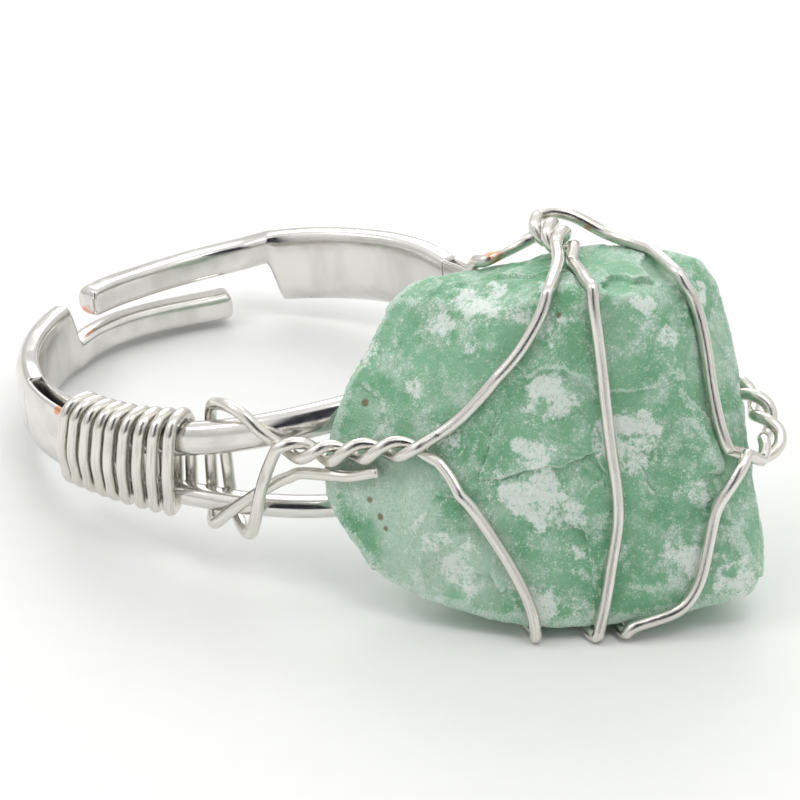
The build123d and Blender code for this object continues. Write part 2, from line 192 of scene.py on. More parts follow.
# %% [markdown]
# ## Light
# Small silver things are photographed in a white tent: the metal mirrors it, so it looks bright, and the
# dark opening for the lens draws the dark lines along every rod and wire. Here the world is that tent. It
# is nearly white overhead, greyer near the table, and dark in an upright slit where the camera looks in;
# the camera itself sees plain white. Three lamps add direction: small ones up on the left and above, and a
# broad one behind, which whitens the tops of the metal and lets the soft shadows fall forwards.

# %% World
TENT_TOP, TENT_SIDE, TENT_OPENING = (1.50, 1.50, 1.48, 1), (1.02, 1.01, 0.99, 1), (0.03, 0.035, 0.05, 1)
TENT_SEEN, TENT_STRENGTH = (1.43, 1.43, 1.42, 1), 0.68
world = bpy.data.worlds.new("light_tent")
bpy.context.scene.world = world
world.use_nodes = True
tent = world.node_tree
sky = tent.nodes["Background"]
sky.inputs["Strength"].default_value = TENT_STRENGTH
way = node(tent, "ShaderNodeTexCoord")


def pointing(direction):
    """How far each direction of the sky points along the given one: their dot product."""
    made = node(tent, "ShaderNodeVectorMath", operation="DOT_PRODUCT")
    made.inputs[1].default_value = direction.tolist()
    join(tent, way, made, "Generated")
    return made


lens_way, lens_side = toward(np.array([CAMERA_TURN, CAMERA_TURN + 90.0]), np.zeros(2))
height = node(tent, "ShaderNodeSeparateXYZ")
join(tent, way, height, "Generated")
walls = tinted(tent, ranged(tent, height, 0.05, 0.75, output="Z"), TENT_SIDE, TENT_TOP)
from_middle = node(tent, "ShaderNodeMath", operation="ABSOLUTE")
join(tent, pointing(lens_side), from_middle, "Value")
opening = ranged(tent, from_middle, 0.36, 0.25)
join(tent, ranged(tent, pointing(lens_way), 0.30, 0.55, output="Value"), opening, 0, "To Max")
inside_tent = tinted(tent, opening, walls, TENT_OPENING)
join(tent, tinted(tent, node(tent, "ShaderNodeLightPath"), inside_tent, TENT_SEEN), sky, 2, "Color")
print("tent strength", TENT_STRENGTH)

# %% Lamps
LAMPS = {
    # turn, rise, metres away, metres wide, watts
    "window_left": (-110.0, 52.0, 0.30, 0.09, 0.10),
    "window_above": (10.0, 68.0, 0.34, 0.12, 0.13),
    "window_back": (150.0, 36.0, 0.36, 0.22, 0.38),
}
for name, (turn, rise, away, wide, power) in LAMPS.items():
    light = bpy.data.lights.new(name, "AREA")
    light.shape, light.size, light.energy = "SQUARE", wide, power
    lamp = bpy.data.objects.new(name, light)
    bpy.context.scene.collection.objects.link(lamp)
    lamp.location = toward(np.array(turn), np.array(rise)) * away
    lamp.rotation_mode = "QUATERNION"
    lamp.rotation_quaternion = lamp.location.to_track_quat("Z", "Y")
bpy.context.scene.view_settings.view_transform = "Standard"
print("lamps", list(LAMPS))

# %% [markdown]
# ## From numbers to meshes
# Every piece here is a section carried along a line: a grid of points with one row for each place along
# the line and one column for each place round the section. The helper turns such grids into one mesh with
# a UV map, in which u is the length along the piece in centimetres and v goes once round it. Where a grid
# ends in a single point its faces close by themselves once the doubled points are merged.

# %% Mesh helpers
def distance_along(line):
    """How far each point of a line is from its start, along the line."""
    return np.concatenate([[0.0], np.cumsum(np.linalg.norm(np.diff(line, axis=0), axis=1))])


def finished(name, points, quads, nearest, node_name, attributes, unwrapped=None):
    """A closed smooth piece from points in ring millimetres and quads. Points nearer than nearest metres are
    merged, faces turned outwards, and the piece stands for a node of the frame. attributes holds values for
    each point; unwrapped holds u and v for each corner of each quad."""
    mesh = bpy.data.meshes.new(name)
    mesh.from_pydata(on_table(points), [], quads)
    if unwrapped is not None:
        mesh.uv_layers.new(name="UVMap").data.foreach_set("uv", unwrapped.astype(np.float32).ravel())
    for key, value in attributes.items():
        mesh.attributes.new(key, "FLOAT", "POINT").data.foreach_set("value", value.astype(np.float32).ravel())
    tidy = bmesh.new()
    tidy.from_mesh(mesh)
    bmesh.ops.remove_doubles(tidy, verts=tidy.verts, dist=nearest)
    bmesh.ops.recalc_face_normals(tidy, faces=tidy.faces)
    tidy.to_mesh(mesh)
    tidy.free()
    mesh.shade_smooth()
    made = bpy.data.objects.new(name, mesh)
    bpy.context.scene.collection.objects.link(made)
    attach(made, "root")
    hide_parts(node_name)
    print(name, "has", len(mesh.polygons), "faces")
    return made


def piece_from_grids(name, grids, node_name, marks, finish):
    """One piece from grids of points (row, column, xyz). Corner k of each quad is the point at row i or i + 1
    and column j or j + 1; the last column joins the first. marks is a function of the points that gives each
    a value from 0 to 1, kept as the attribute "wear"."""
    points, quads, charts = [], [], []
    start = 0
    for grid in grids:
        rows, columns = grid.shape[:2]
        along = distance_along(grid.mean(1)) * 0.1
        i, j = (a.ravel() for a in np.meshgrid(np.arange(rows - 1), np.arange(columns), indexing="ij"))
        after = (j + 1) % columns
        corners = [(i, j), (i, after), (i + 1, after), (i + 1, j)]
        quads.append(start + np.stack([row * columns + column for row, column in corners], -1))
        sides = [(i, j), (i, j + 1), (i + 1, j + 1), (i + 1, j)]
        charts.append(np.stack([np.stack([along[row], column / columns], -1) for row, column in sides], 1))
        points.append(grid.reshape(-1, 3))
        start += rows * columns
    points = np.concatenate(points)
    made = finished(name, points, np.concatenate(quads), 1e-8, node_name, {"wear": marks(points)},
                    np.concatenate(charts))
    made.data.materials.append(finish)


def chance(corner, seed):
    """Numbers from -1 to 1 worked out from whole coordinates, so that each place always has the same one."""
    key = corner[..., 0] * 73856093 ^ corner[..., 1] * 19349663 ^ corner[..., 2] * 83492791 ^ seed * 668265263
    key = (key ^ (key >> 15)) * 1274126177 & 0x7FFFFFFF
    return ((key ^ (key >> 13)) % 65536) / 32767.5 - 1


def noise(points, cell, seed):
    """Value noise from -1 to 1: each corner of a grid of cells has its own chance, and a point blends its
    cell's eight corners by the smooth weight 3f^2 - 2f^3."""
    places = np.asarray(points) / cell
    corner = np.floor(places).astype(np.int64)
    share = places - corner
    share = share * share * (3 - 2 * share)
    total = np.zeros(places.shape[:-1])
    for step in np.ndindex(2, 2, 2):
        weight = np.prod(np.where(np.array(step) == 1, share, 1 - share), -1)
        total += chance(corner + np.array(step), seed) * weight
    return total


def rough(points, cell, seed, octaves=4):
    """Several noises added, each half as large and half as wide as the one before."""
    return sum(noise(points, cell / 2**k, seed + k) / 2**k for k in range(octaves))


def blend_step(value, low, high):
    """0 below low, 1 above high, and a smooth step between."""
    share = np.clip((value - low) / (high - low), 0, 1)
    return share * share * (3 - 2 * share)


print("noise at the origin", round(float(noise(np.zeros(3), 1.0, 3)), 3))

# %% [markdown]
# ## Finishes
# Cheap silver plating is bright, but never even: fingers leave faint smudges, polishing leaves fine lines,
# and at rubbed spots the copper below shows through. The smudges and lines are wanted on the band and on the
# wires, so they are one node group that puts out a tone, a roughness and a height. The copper comes
# from the "wear" attribute, which each piece computes where the real one is rubbed.


# %% Plating group and metal materials
def plating_group():
    """Node group: Vector, Smudge Scale, Line Scale, Bright and Dull in, and Tone, Roughness and Height out."""
    tree = bpy.data.node_groups.new("handled_plating", "ShaderNodeTree")
    for name, kind in (("Vector", "NodeSocketVector"), ("Smudge Scale", "NodeSocketFloat"),
                       ("Line Scale", "NodeSocketFloat"), ("Bright", "NodeSocketColor"),
                       ("Dull", "NodeSocketColor")):
        tree.interface.new_socket(name, in_out="INPUT", socket_type=kind)
    for name, kind in (("Tone", "NodeSocketColor"), ("Roughness", "NodeSocketFloat"),
                       ("Height", "NodeSocketFloat")):
        tree.interface.new_socket(name, in_out="OUTPUT", socket_type=kind)
    given, result = node(tree, "NodeGroupInput"), node(tree, "NodeGroupOutput")
    smudge = node(tree, "ShaderNodeTexNoise", Detail=4.0, Roughness=0.6)
    join(tree, given, smudge, "Vector", "Vector")
    join(tree, given, smudge, "Smudge Scale", "Scale")
    lines = node(tree, "ShaderNodeTexNoise", Detail=3.0, Roughness=0.55)
    join(tree, given, lines, "Vector", "Vector")
    join(tree, given, lines, "Line Scale", "Scale")
    tone = node(tree, "ShaderNodeMix", data_type="RGBA")
    join(tree, ranged(tree, smudge, 0.42, 0.68, shape="LINEAR"), tone)
    join(tree, given, tone, "Bright", 6)
    join(tree, given, tone, "Dull", 7)
    join(tree, tone, result, 2, "Tone")
    mixed = node(tree, "ShaderNodeMath", operation="MULTIPLY_ADD")
    mixed.inputs[1].default_value = 0.5
    join(tree, lines, mixed)
    join(tree, smudge, mixed, 0, 2)
    join(tree, ranged(tree, mixed, 0.5, 1.05, 0.09, 0.30, shape="LINEAR"), result, 0, "Roughness")
    join(tree, lines, result, 0, "Height")
    return tree


plating = plating_group()
COPPER = (0.74, 0.36, 0.22, 1)


def plated(name, stretch, smudge, line, bright, dull, bump):
    """Metal material: the plating group on stretched coordinates, with copper where wear is high."""
    material, tree, shader = new_finish(name)
    shader.inputs["Metallic"].default_value = 1.0
    place = node(tree, "ShaderNodeTexCoord")
    stretched = node(tree, "ShaderNodeMapping")
    stretched.inputs["Scale"].default_value = stretch
    join(tree, place, stretched, "UV")
    handled = node(tree, "ShaderNodeGroup", node_tree=plating)
    for socket, value in (("Smudge Scale", smudge), ("Line Scale", line), ("Bright", bright), ("Dull", dull)):
        handled.inputs[socket].default_value = value
    join(tree, stretched, handled, 0, "Vector")
    wear = node(tree, "ShaderNodeAttribute", attribute_name="wear")
    ragged = node(tree, "ShaderNodeTexNoise", Scale=2600.0, Detail=3.0)
    join(tree, place, ragged, "Object", "Vector")
    both = node(tree, "ShaderNodeMath", operation="MULTIPLY_ADD")
    both.inputs[1].default_value = 0.9
    join(tree, ragged, both)
    join(tree, wear, both, "Fac", 2)
    copper = node(tree, "ShaderNodeMix", data_type="RGBA")
    copper.inputs[7].default_value = COPPER
    join(tree, ranged(tree, both, 0.85, 1.25), copper)
    join(tree, handled, copper, "Tone", 6)
    join(tree, copper, shader, 2, "Base Color")
    join(tree, handled, shader, "Roughness", "Roughness")
    dents = node(tree, "ShaderNodeBump", Strength=bump, Distance=0.00002)
    join(tree, handled, dents, "Height", "Height")
    join(tree, dents, shader, 0, "Normal")
    return material


band_finish = plated("bright_plating", (1.0, 1.0, 1.0), 5.0, 24.0,
                     (0.76, 0.745, 0.72, 1), (0.62, 0.61, 0.585, 1), 0.12)
wire_finish = plated("drawn_wire", (1.0, 3.0, 1.0), 7.0, 40.0,
                     (0.80, 0.78, 0.735, 1), (0.64, 0.62, 0.575, 1), 0.25)
print("metal finishes made")

# %% [markdown]
# ## The band
# The band is cast and bent: two arms run back from the coils, and each narrows at a shoulder to a slim
# tongue, one above the other. At the front each arm is forked into two prongs. Every length of it is a bar
# whose section is a superellipse, nearly flat on the finger's side and domed outside, with its ends drawn in
# to a rounded cap. The tables give the same places and heights as the CAD model's.

# %% Bars from tables
# along, outwards, level, thick, tall
LEFT_ARM = np.array([
    (0, 0, 0, 1, 0.94), (0.126, 0, 0, 1, 1), (0.358, 0, 0, 1, 1), (0.59, 0, 0, 1, 1), (0.8, 0, 0, 1, 1),
    (1, 0, 0, 1, 1),
])
LOWER_TONGUE = np.array([
    (0, 0, -0.3, 1, 1), (0.193, 0.02, -0.25, 1.1, 1), (0.376, -0.06, -0.24, 1.2, 1),
    (0.559, -0.17, -0.255, 1.25, 1), (0.742, -0.23, -0.28, 1.25, 1), (0.904, -0.19, -0.3, 1.25, 1),
    (1, -0.13, -0.3, 1.22, 1),
])
RIGHT_ARM = np.array([
    (0, 0, 0, 1, 0.94), (0.115, 0.01, 0.05, 1, 1), (0.346, 0.05, 0.11, 1, 1.02), (0.577, 0.1, 0.12, 1, 1.02),
    (0.788, 0.14, 0.12, 1.05, 1.02), (1, 0.2, 0.11, 1.1, 1),
])
UPPER_TONGUE = np.array([
    (0, 0.2, 0.395, 1.1, 1), (0.155, 0.36, 0.3, 1.08, 1), (0.311, 0.42, 0.255, 1.05, 1),
    (0.485, 0.38, 0.235, 1.02, 1), (0.68, 0.28, 0.245, 1, 1), (0.854, 0.16, 0.275, 1, 1),
    (1, 0.08, 0.285, 0.95, 0.98),
])
LEFT_SHOULDER, LOWER_TIP, RIGHT_SHOULDER, UPPER_TIP = 212.5, 163.3, 152.0, 203.5
BAR_COLUMNS, CAP_ROWS, BAR_STEP = 56, 9, 0.08
ARM_CAP, TIP_CAP = 0.16, 0.42


def through(knots, values, at):
    """Smooth curve through table rows: between two rows a cubic, with slopes from each row's neighbours."""
    slopes = np.gradient(values, knots, axis=0)
    k = np.clip(np.searchsorted(knots, at, side="right") - 1, 0, len(knots) - 2)
    width = (knots[k + 1] - knots[k])[:, None]
    s = (at - knots[k])[:, None] / width
    start = values[k] * (2 * s**3 - 3 * s**2 + 1) + slopes[k] * width * (s**3 - 2 * s**2 + s)
    return start + values[k + 1] * (3 * s**2 - 2 * s**3) + slopes[k + 1] * width * (s**3 - s**2)


def capped(length, first_cap, last_cap, step):
    """Places from 0 to length with both ends crowded, and how far each lies into its cap, from 0 to 1."""
    into = np.sin(np.linspace(0, pi / 2, CAP_ROWS))
    middle = np.linspace(first_cap, length - last_cap, max(2, int(length / step)))[1:-1]
    places = np.concatenate([first_cap * (1 - into[::-1]), middle, length - last_cap * (1 - into)])
    inside = np.concatenate([into[::-1], np.zeros_like(middle), into])
    return places, inside


def bar(turns, radius, level, thick, tall, inside, dome, flat, blunt):
    """Grid of a bar round the finger hole. The section at each turn is |x|^n + |y|^n = 1 with its own half
    sizes, n being dome outside and flat towards the finger; a cap shrinks the height by (1 - c^blunt)^(1/blunt)
    and the thickness by (1 - c^5)^(1/5), where c goes from 0 to 1 into the cap."""
    angle = np.linspace(0, 2 * pi, BAR_COLUMNS, endpoint=False)
    power = np.where(np.cos(angle) > 0, dome, flat)
    x = np.sign(np.cos(angle)) * np.abs(np.cos(angle)) ** (2 / power)
    y = np.sign(np.sin(angle)) * np.abs(np.sin(angle)) ** (2 / power)
    narrow = (1 - inside**blunt) ** (1 / blunt)
    thin = (1 - inside**5) ** (1 / 5)
    reach = radius[:, None] + (thick * thin / 2)[:, None] * x
    rise = level[:, None] + (tall * narrow / 2)[:, None] * y
    return outwards(turns)[:, None, :] * reach[..., None] + rise[..., None] * UPWARD


def table_sizes(rows, turns, start, end, full_height):
    """Way outwards, bottom, top and thickness in millimetres at turns, from rows that run from start to end."""
    share = np.clip((turns - start) / (end - start), 0, 1)
    out, level, thick, tall = through(rows[:, 0], rows[:, 1:], share).T
    half = tall * full_height / 2
    return np.stack([out * METAL, level * BAND_TALL - half, level * BAND_TALL + half, thick * METAL])


def arm_bar(arm, tongue, start, shoulder, tip, tongue_height, before, after):
    """An arm and its tongue as one bar. All sizes change over, by a smooth step, from the arm's to the tongue's
    between so many degrees before the shoulder and after it."""
    length = abs(tip - start) * pi / 180 * middle_radius
    places, inside = capped(length, ARM_CAP, TIP_CAP, BAR_STEP)
    turns = start + (tip - start) * places / length
    beyond = (turns - shoulder) * np.sign(tip - start)
    share = blend_step(beyond, -before, after)
    sizes = table_sizes(arm, turns, start, shoulder, BAND_TALL) * (1 - share)
    out, bottom, top, thick = sizes + table_sizes(tongue, turns, shoulder, tip, tongue_height) * share
    return bar(turns, middle_radius + out, (bottom + top) / 2, thick, top - bottom, inside, 2.7, 4.5, 2.8)


left_arm = arm_bar(LEFT_ARM, LOWER_TONGUE, 360 - FORK_TURN, LEFT_SHOULDER, LOWER_TIP, LOWER_SHARE * BAND_TALL,
                   2.6, 1.6)
right_arm = arm_bar(RIGHT_ARM, UPPER_TONGUE, FORK_TURN, RIGHT_SHOULDER, UPPER_TIP, UPPER_SHARE * BAND_TALL,
                    2.6, 1.4)
print("the arms have", len(left_arm), "and", len(right_arm), "rows")

# %% [markdown]
# The prongs start inside the arms' ends. They run close together under the coils, then spread apart behind
# the stone and stand out from the round there, by smooth powers of the cosine of the turn.

# %% Prongs, and the band as one piece
COIL_FAR = 78.0


def prong_radius(turn):
    """Radius of the prongs' middle line: the band's plus FORK_BULGE times the squared cosine."""
    return middle_radius + FORK_BULGE * np.maximum(0, np.cos(np.radians(turn))) ** 2


def gathered(turn):
    """0 up to the coil's far end, and 1 where the prongs have run together into an arm."""
    return np.clip((np.abs(turn) - COIL_FAR) / (FORK_TURN - COIL_FAR), 0, 1)


def prong_spread(turn):
    """Half the distance between the prongs: narrow at the coils, and wider behind the stone by a cosine^5."""
    opening_share = np.maximum(0, np.cos(np.radians(90 * turn / FORK_TURN))) ** 5
    narrow = FORK_NARROW + ((FORK_SPLIT + root_tall) / 2 - FORK_NARROW) * gathered(turn)
    return narrow + (FORK_WIDE - FORK_NARROW) * opening_share


def prong_tall(turn, side):
    """A prong's height; side is 1 for the upper one and -1 for the lower."""
    own = np.where(np.asarray(side) > 0, UPPER_PRONG_TALL, LOWER_PRONG_TALL)
    return own + (root_tall - own) * gathered(turn)


def prong_edge(turn, side):
    """Level of a wire's middle where it passes over or under a prong."""
    return prong_spread(turn) + prong_tall(turn, side) / 2 + wire_stand


SPLIT_NEAR = 58.0
PRONG_ROOTS = {
    # outwards and thick as shares of PRONG_THICK, then bottom and top, at the coil and at the arm, of BAND_TALL
    1: ((-0.33, 0.31), (-0.43, -0.44), (0.490, 0.465)),
    -1: ((0.25, 0.54), (-0.45, -0.46), (0.400, 0.440)),
}


def prong(side):
    """Grid of one prong, from two degrees inside the left arm to two inside the right. Where the fork starts,
    the metal is split through its thickness: the upper prong lies inside and the lower one outside. Under the
    coil they change over, by a smooth step, into one above the other."""
    length = 2 * (FORK_TURN + 2)
    places, inside = capped(length, 1.0, 1.0, 0.6)
    turns = places - length / 2
    split = blend_step(np.abs(turns), SPLIT_NEAR, COIL_FAR)
    (out, thick), low, high = PRONG_ROOTS[side]
    bottom = side * prong_spread(turns) - prong_tall(turns, side) / 2
    top = bottom + prong_tall(turns, side)
    bottom = bottom + (np.interp(gathered(turns), (0, 1), low) * BAND_TALL - bottom) * split
    top = top + (np.interp(gathered(turns), (0, 1), high) * BAND_TALL - top) * split
    return bar(turns, prong_radius(turns) + out * split * PRONG_THICK, (bottom + top) / 2,
               PRONG_THICK * (1 + (thick - 1) * split), top - bottom, inside, 2.35, 2.6, 3.0)


BAND_COPPER = [
    # x, y, z, radius
    (-3.85, 8.95, 0.3, 0.52), (-9.85, -1.38, 1.15, 0.32),
]


def copper_marks(spots):
    """Function of points that gives exp(-(distance / radius)^2), the most of any spot."""
    spots = np.array(spots, float)
    return lambda points: np.max([np.exp(-((points - s[:3]) ** 2).sum(-1) / s[3] ** 2) for s in spots], 0)


def cast(grid):
    """The casting's faint waviness, which bends what the metal mirrors: a noise of a few hundredths."""
    centre = grid.mean(1, keepdims=True)
    return centre + (grid - centre) * (1 - 0.012 - 0.012 * noise(grid, 2.4, 11)[..., None])


band_grids = [cast(grid) for grid in (left_arm, right_arm, prong(1), prong(-1))]
piece_from_grids("plated_band", band_grids, "ring_band", copper_marks(BAND_COPPER), band_finish)

# %% [markdown]
# ## Wires
# All wires are one gauge. A wire is a circle carried along a line of points. The circle has to stay square to
# the line without twisting, so each ring's sideways direction is the last one's, made square to the new
# direction. The ends are slightly rounded, as cutters leave them.

# %% Tube along a line
TUBE_COLUMNS = 22
WIRE_STEP = 0.13


def smooth_line(points, step=WIRE_STEP):
    """Points a step apart on the Catmull-Rom curve through the given ones:
    half of 2P1 + (P2 - P0)t + (2P0 - 5P1 + 4P2 - P3)t^2 + (3P1 - P0 - 3P2 + P3)t^3."""
    points = np.asarray(points, float)
    ends = np.concatenate([[2 * points[0] - points[1]], points, [2 * points[-1] - points[-2]]])
    runs = []
    for p0, p1, p2, p3 in zip(ends, ends[1:], ends[2:], ends[3:]):
        count = max(1, round(float(np.linalg.norm(p2 - p1)) / step))
        t = (np.arange(count) / count)[:, None]
        runs.append(0.5 * (2 * p1 + (p2 - p0) * t + (2 * p0 - 5 * p1 + 4 * p2 - p3) * t**2
                           + (3 * p1 - p0 - 3 * p2 + p3) * t**3))
    return np.concatenate([*runs, points[-1:]])


def evenly(line, step):
    """The same line with its points moved to equal distances along it."""
    lengths = distance_along(line)
    at = np.linspace(0, lengths[-1], int(lengths[-1] / step) + 1)
    return np.stack([np.interp(at, lengths, line[:, axis]) for axis in range(3)], -1)


def tube(line, radius=WIRE / 2, columns=TUBE_COLUMNS):
    """Grid of a round wire: middle + radius (cos a across + sin a up), with end rings drawn in to a point."""
    along = unit(np.gradient(line, axis=0))
    across = np.zeros_like(line)
    last = np.cross(along[0], (0.0, 0.0, 1.0))
    for i, direction in enumerate(along):
        last = last - direction * (last @ direction)
        last = last / np.linalg.norm(last)
        across[i] = last
    up = np.cross(along, across)
    angle = np.linspace(0, 2 * pi, columns, endpoint=False)
    ring = np.cos(angle)[None, :, None] * across[:, None] + np.sin(angle)[None, :, None] * up[:, None]
    body = line[:, None] + radius * ring
    shrink, push = np.array([0.0, 0.55, 0.86, 1.0]), np.array([0.10, 0.085, 0.045, 0.0])
    first = line[0] + radius * shrink[:, None, None] * ring[0] - push[:, None, None] * along[0]
    final = line[-1] + radius * shrink[::-1, None, None] * ring[-1] + push[::-1, None, None] * along[-1]
    return np.concatenate([first[:-1], body, final[1:]])


print("wire of", WIRE, "mm")

# %% [markdown]
# ## The coils
# On each side of the stone a wire is wound nine times round both prongs and keeps them together. Pulled
# tight, each turn is a rounded rectangle whose outer side bulges. Hand winding leaves uneven gaps, so a short
# table moves each turn a little, and between two turns the line changes over evenly.

# %% Coils
COIL_NEAR, COIL_TURNS, COIL_LEAN, COIL_BULGE = 45.5, 9, 1.1, 0.18
PRONG_CORNER = 0.40
COIL_SHIFTS = np.array([0.00, 0.20, 0.10, -0.30, -0.10, 0.30, -0.20, -0.05, 0.15, 0.00])
CORNER_POINTS, COIL_STEP = 12, 0.16
NOWHERE = [(0, 0, 50, 1)]     # a copper spot too far off to show


def coil_line(side):
    """Line of a coil. Each turn is four corners of a rounded rectangle, turned by equal steps, with the flat
    sides between them; the outer one has a point more, COIL_BULGE further out. The turn from the stone falls
    evenly from COIL_FAR to COIL_NEAR, less COIL_LEAN x level / edge."""
    corner = PRONG_CORNER + wire_stand
    signs = [(-1, -1, 180), (1, -1, 270), (1, 1, 360), (-1, 1, 450)]
    rows = [(sx, sy, start + angle) for sx, sy, start in signs for angle in np.linspace(0, 90, CORNER_POINTS)]
    rows.insert(2 * CORNER_POINTS, (1, 0, 360))
    sx, sy, ways = np.array(rows * COIL_TURNS + rows[:1], float).T
    share = np.linspace(0, 1, len(ways))
    shift = np.interp(share * COIL_TURNS, np.arange(COIL_TURNS + 1), COIL_SHIFTS)
    turn = COIL_FAR + (COIL_NEAR - COIL_FAR) * share + shift
    edge = prong_edge(turn, np.where(sy < 0, -1, 1))
    out = sx * (out_reach - corner) + corner * np.cos(np.radians(ways)) + COIL_BULGE * (sy == 0)
    up = sy * (edge - corner) + corner * np.sin(np.radians(ways)) * (sy != 0)
    turn = side * (turn - COIL_LEAN * up / edge)
    return outwards(turn) * (prong_radius(turn) + out)[:, None] + up[:, None] * UPWARD


for side, name in ((-1, "left_coil"), (1, "right_coil")):
    line = smooth_line(coil_line(side), COIL_STEP)
    piece_from_grids("wound_" + name, [tube(line)], name, copper_marks(NOWHERE), wire_finish)

# %% [markdown]
# ## The stone's planes
# The uncut stone is a block of green aventurine with broken faces. Its main form is what is left of a block
# after many flat cuts, the same cuts as in the CAD model. A cut is a direction and a distance from the
# stone's middle.

# %% Planes of the stone
STONE_REACH, STONE_SWING, STONE_NOD = 8.3, -25.0, 22.0
SEAT_TURN, SEAT_TILT, SEAT_GAP, FLOOR_SKIN = -12.0, 15.0, 0.12, 0.07
STONE_SIDES = [
    # heading, reach, forward, front lean, back lean
    (2, 0.92, 0, 34, 22), (5, 0.915, -0.01, 37, 16), (24, 1.045, -0.02, 36, 28), (70, 0.98, -0.05, 26, 30),
    (86, 0.865, -0.07, 20, 22), (94, 0.82, -0.07, 17, 26), (108, 0.915, -0.06, 32, 20),
    (144, 0.97, -0.04, 50, 26), (159, 0.965, 0, 57, 18), (172, 1.01, 0, 62, 20), (204, 0.98, 0, 52, 20),
    (231, 0.955, 0.05, 61, 30), (250, 0.86, 0.11, 50, 34), (264, 0.865, 0.16, 36, 30),
    (274, 0.885, 0.12, 26, 26), (298, 1.1, 0.06, 30, 30), (344, 1.08, 0.02, 36, 24),
]
STONE_FACES = [
    # turn, rise, reach
    (-21, 7, 0.34), (-40, 24, 0.46), (158, -18, 0.6),
]
stone_out = toward(np.array(STONE_SWING), np.array(STONE_NOD))
stone_across = np.array([np.cos(radians(STONE_SWING)), np.sin(radians(STONE_SWING)), 0.0])
stone_up = np.cross(stone_out, stone_across)
stone_middle = np.array([0.48 * STONE_REACH, -(prong_radius(0.0) + 0.51 * STONE_REACH), 0.06 * STONE_REACH])
floor_depth = (BORE / 2 + METAL) * np.sin(radians(RAISED)) + BAND_TALL / 2 * np.cos(radians(RAISED))


def stone_cuts():
    """Directions and distances of all cuts, in millimetres from the stone's middle."""
    directions, distances = [], []
    for heading, reach, forward, *leans in STONE_SIDES:
        sideways = stone_across * np.cos(radians(heading)) + stone_up * np.sin(radians(heading))
        for tip in np.radians([leans[0], -leans[1]]):
            directions.append(sideways * np.cos(tip) + stone_out * np.sin(tip))
            distances.append((reach * np.cos(tip) + forward * np.sin(tip)) * STONE_REACH)
    for turn, rise, reach in STONE_FACES:
        directions.append(toward(np.array(float(turn)), np.array(float(rise))))
        distances.append(reach * STONE_REACH)
    seat = -toward(np.array(SEAT_TURN), np.array(SEAT_TILT))
    seat_level = prong_spread(SEAT_TURN) + prong_tall(SEAT_TURN, 1) / 2
    seat_point = outwards(SEAT_TURN) * (prong_radius(SEAT_TURN) + PRONG_THICK / 2 + SEAT_GAP)
    seat_point = seat_point + np.array([0.0, 0.0, float(seat_level)])
    directions.append(seat)
    distances.append((seat_point - stone_middle) @ seat)
    table_way = np.array([0.0, 0.0, -1.0]) @ lean
    directions.append(table_way)
    distances.append(floor_depth - WIRE - FLOOR_SKIN - stone_middle @ table_way)
    return np.array(directions), np.array(distances)


cut_ways, cut_reach = stone_cuts()
print("the stone has", len(cut_reach), "cuts")

# %% [markdown]
# ## The cage
# Two wires hold the stone. They start hooked round the prongs on the left, are twisted together beside the
# stone, and part on its face. One goes up to the top knot, loops over the top edge and comes down on the
# right; the other goes down and under the stone, up its hidden back to the same knot, down the middle and
# under again. Both meet in a tight twist on the right that ends round the prongs there. The rows say where
# a wire crosses the stone as seen from its middle, and how many wire widths it stands off.

# %% Routes of the two wires
LEFT_LOWER_HOOK = [
    # turn, outwards, upwards
    (-36.9, -1.1, 0.3), (-36.9, -1.1, -0.15), (-36.8, -1.1, -0.62), (-36.2, -1.05, -0.9),
    (-35.2, -0.55, -1.06), (-33.6, 0.35, -1.12), (-31.8, 1.25, -1.04), (-30.4, 1.72, -0.7),
    (-29.4, 1.8, -0.34), (-28.4, 1.78, -0.04), (-27.1, 1.68, 0.22),
]
LEFT_TAIL_END = [
    # turn, rise, lift
    (-77, -4, 0.1), (-83, -4, 0), (-86, -3, 0),
]
LEFT_UPPER_HOOK = [
    # turn, outwards, upwards
    (-21.2, 1.56, 0.08), (-23.4, 1.27, 0), (-26.2, 1.06, -0.12), (-31.2, 1.02, -0.4), (-35.6, 1.02, -0.7),
    (-38.6, 0.92, -0.97), (-40.2, 0.1, -1.05), (-41, -0.92, -0.97), (-41, -1.05, -0.5), (-40.6, -1.05, 0.1),
    (-39.8, -1.05, 0.62), (-38.8, -0.9, 1), (-36.6, -0.25, 1.14), (-33.6, 0.45, 1.16), (-30.6, 0.9, 1.02),
    (-27.8, 1.12, 0.76),
]
LEFT_TWIST_START = (-24.6, 1.41, 0.50)
LEFT_TWIST = [
    # turn, rise, lift
    (-85, 3, 0.7), (-77, 3, 0.7), (-68, 3, 0.7), (-61, 2, 0.7),
]
FIRST_WIRE = [
    # turn, rise, lift
    (-56, 8, 0.3), (-47, 15, 0), (-32, 27, 0), (-16, 38, 0), (-5, 45, 0), (5, 51, 0), (11, 58, 0),
    (18, 64, 0.3), (27, 70, 0.7),
]
TOP_TWIST = [
    # turn, rise, lift
    (50, 75, 1), (72, 81, 1.4), (132, 84, 1.8),
]
LOOP_WIRE = [
    # turn, rise, lift
    (145, 83, 2.5), (124, 81, 2.7), (110, 76, 2.1), (104, 71, 1.1), (100, 66, 0.3), (87, 58, 0), (76, 51, 0),
    (68, 43, 0), (72, 34, 0), (73, 23, 0), (72, 10, 0), (73, -3, 0), (75, -9, 0),
]
RIGHT_TWIST = [
    # turn, rise, lift
    (82, -11, 0.7), (86, -9, 0.8), (90, -6, 1), (94, -2, 1.3), (98, 2, 1.5), (103, 6, 1.2), (111, 9, 0.95),
    (122, 12, 0.85),
]
RIGHT_TWIST_END = (31.0, 1.70, 0.10)
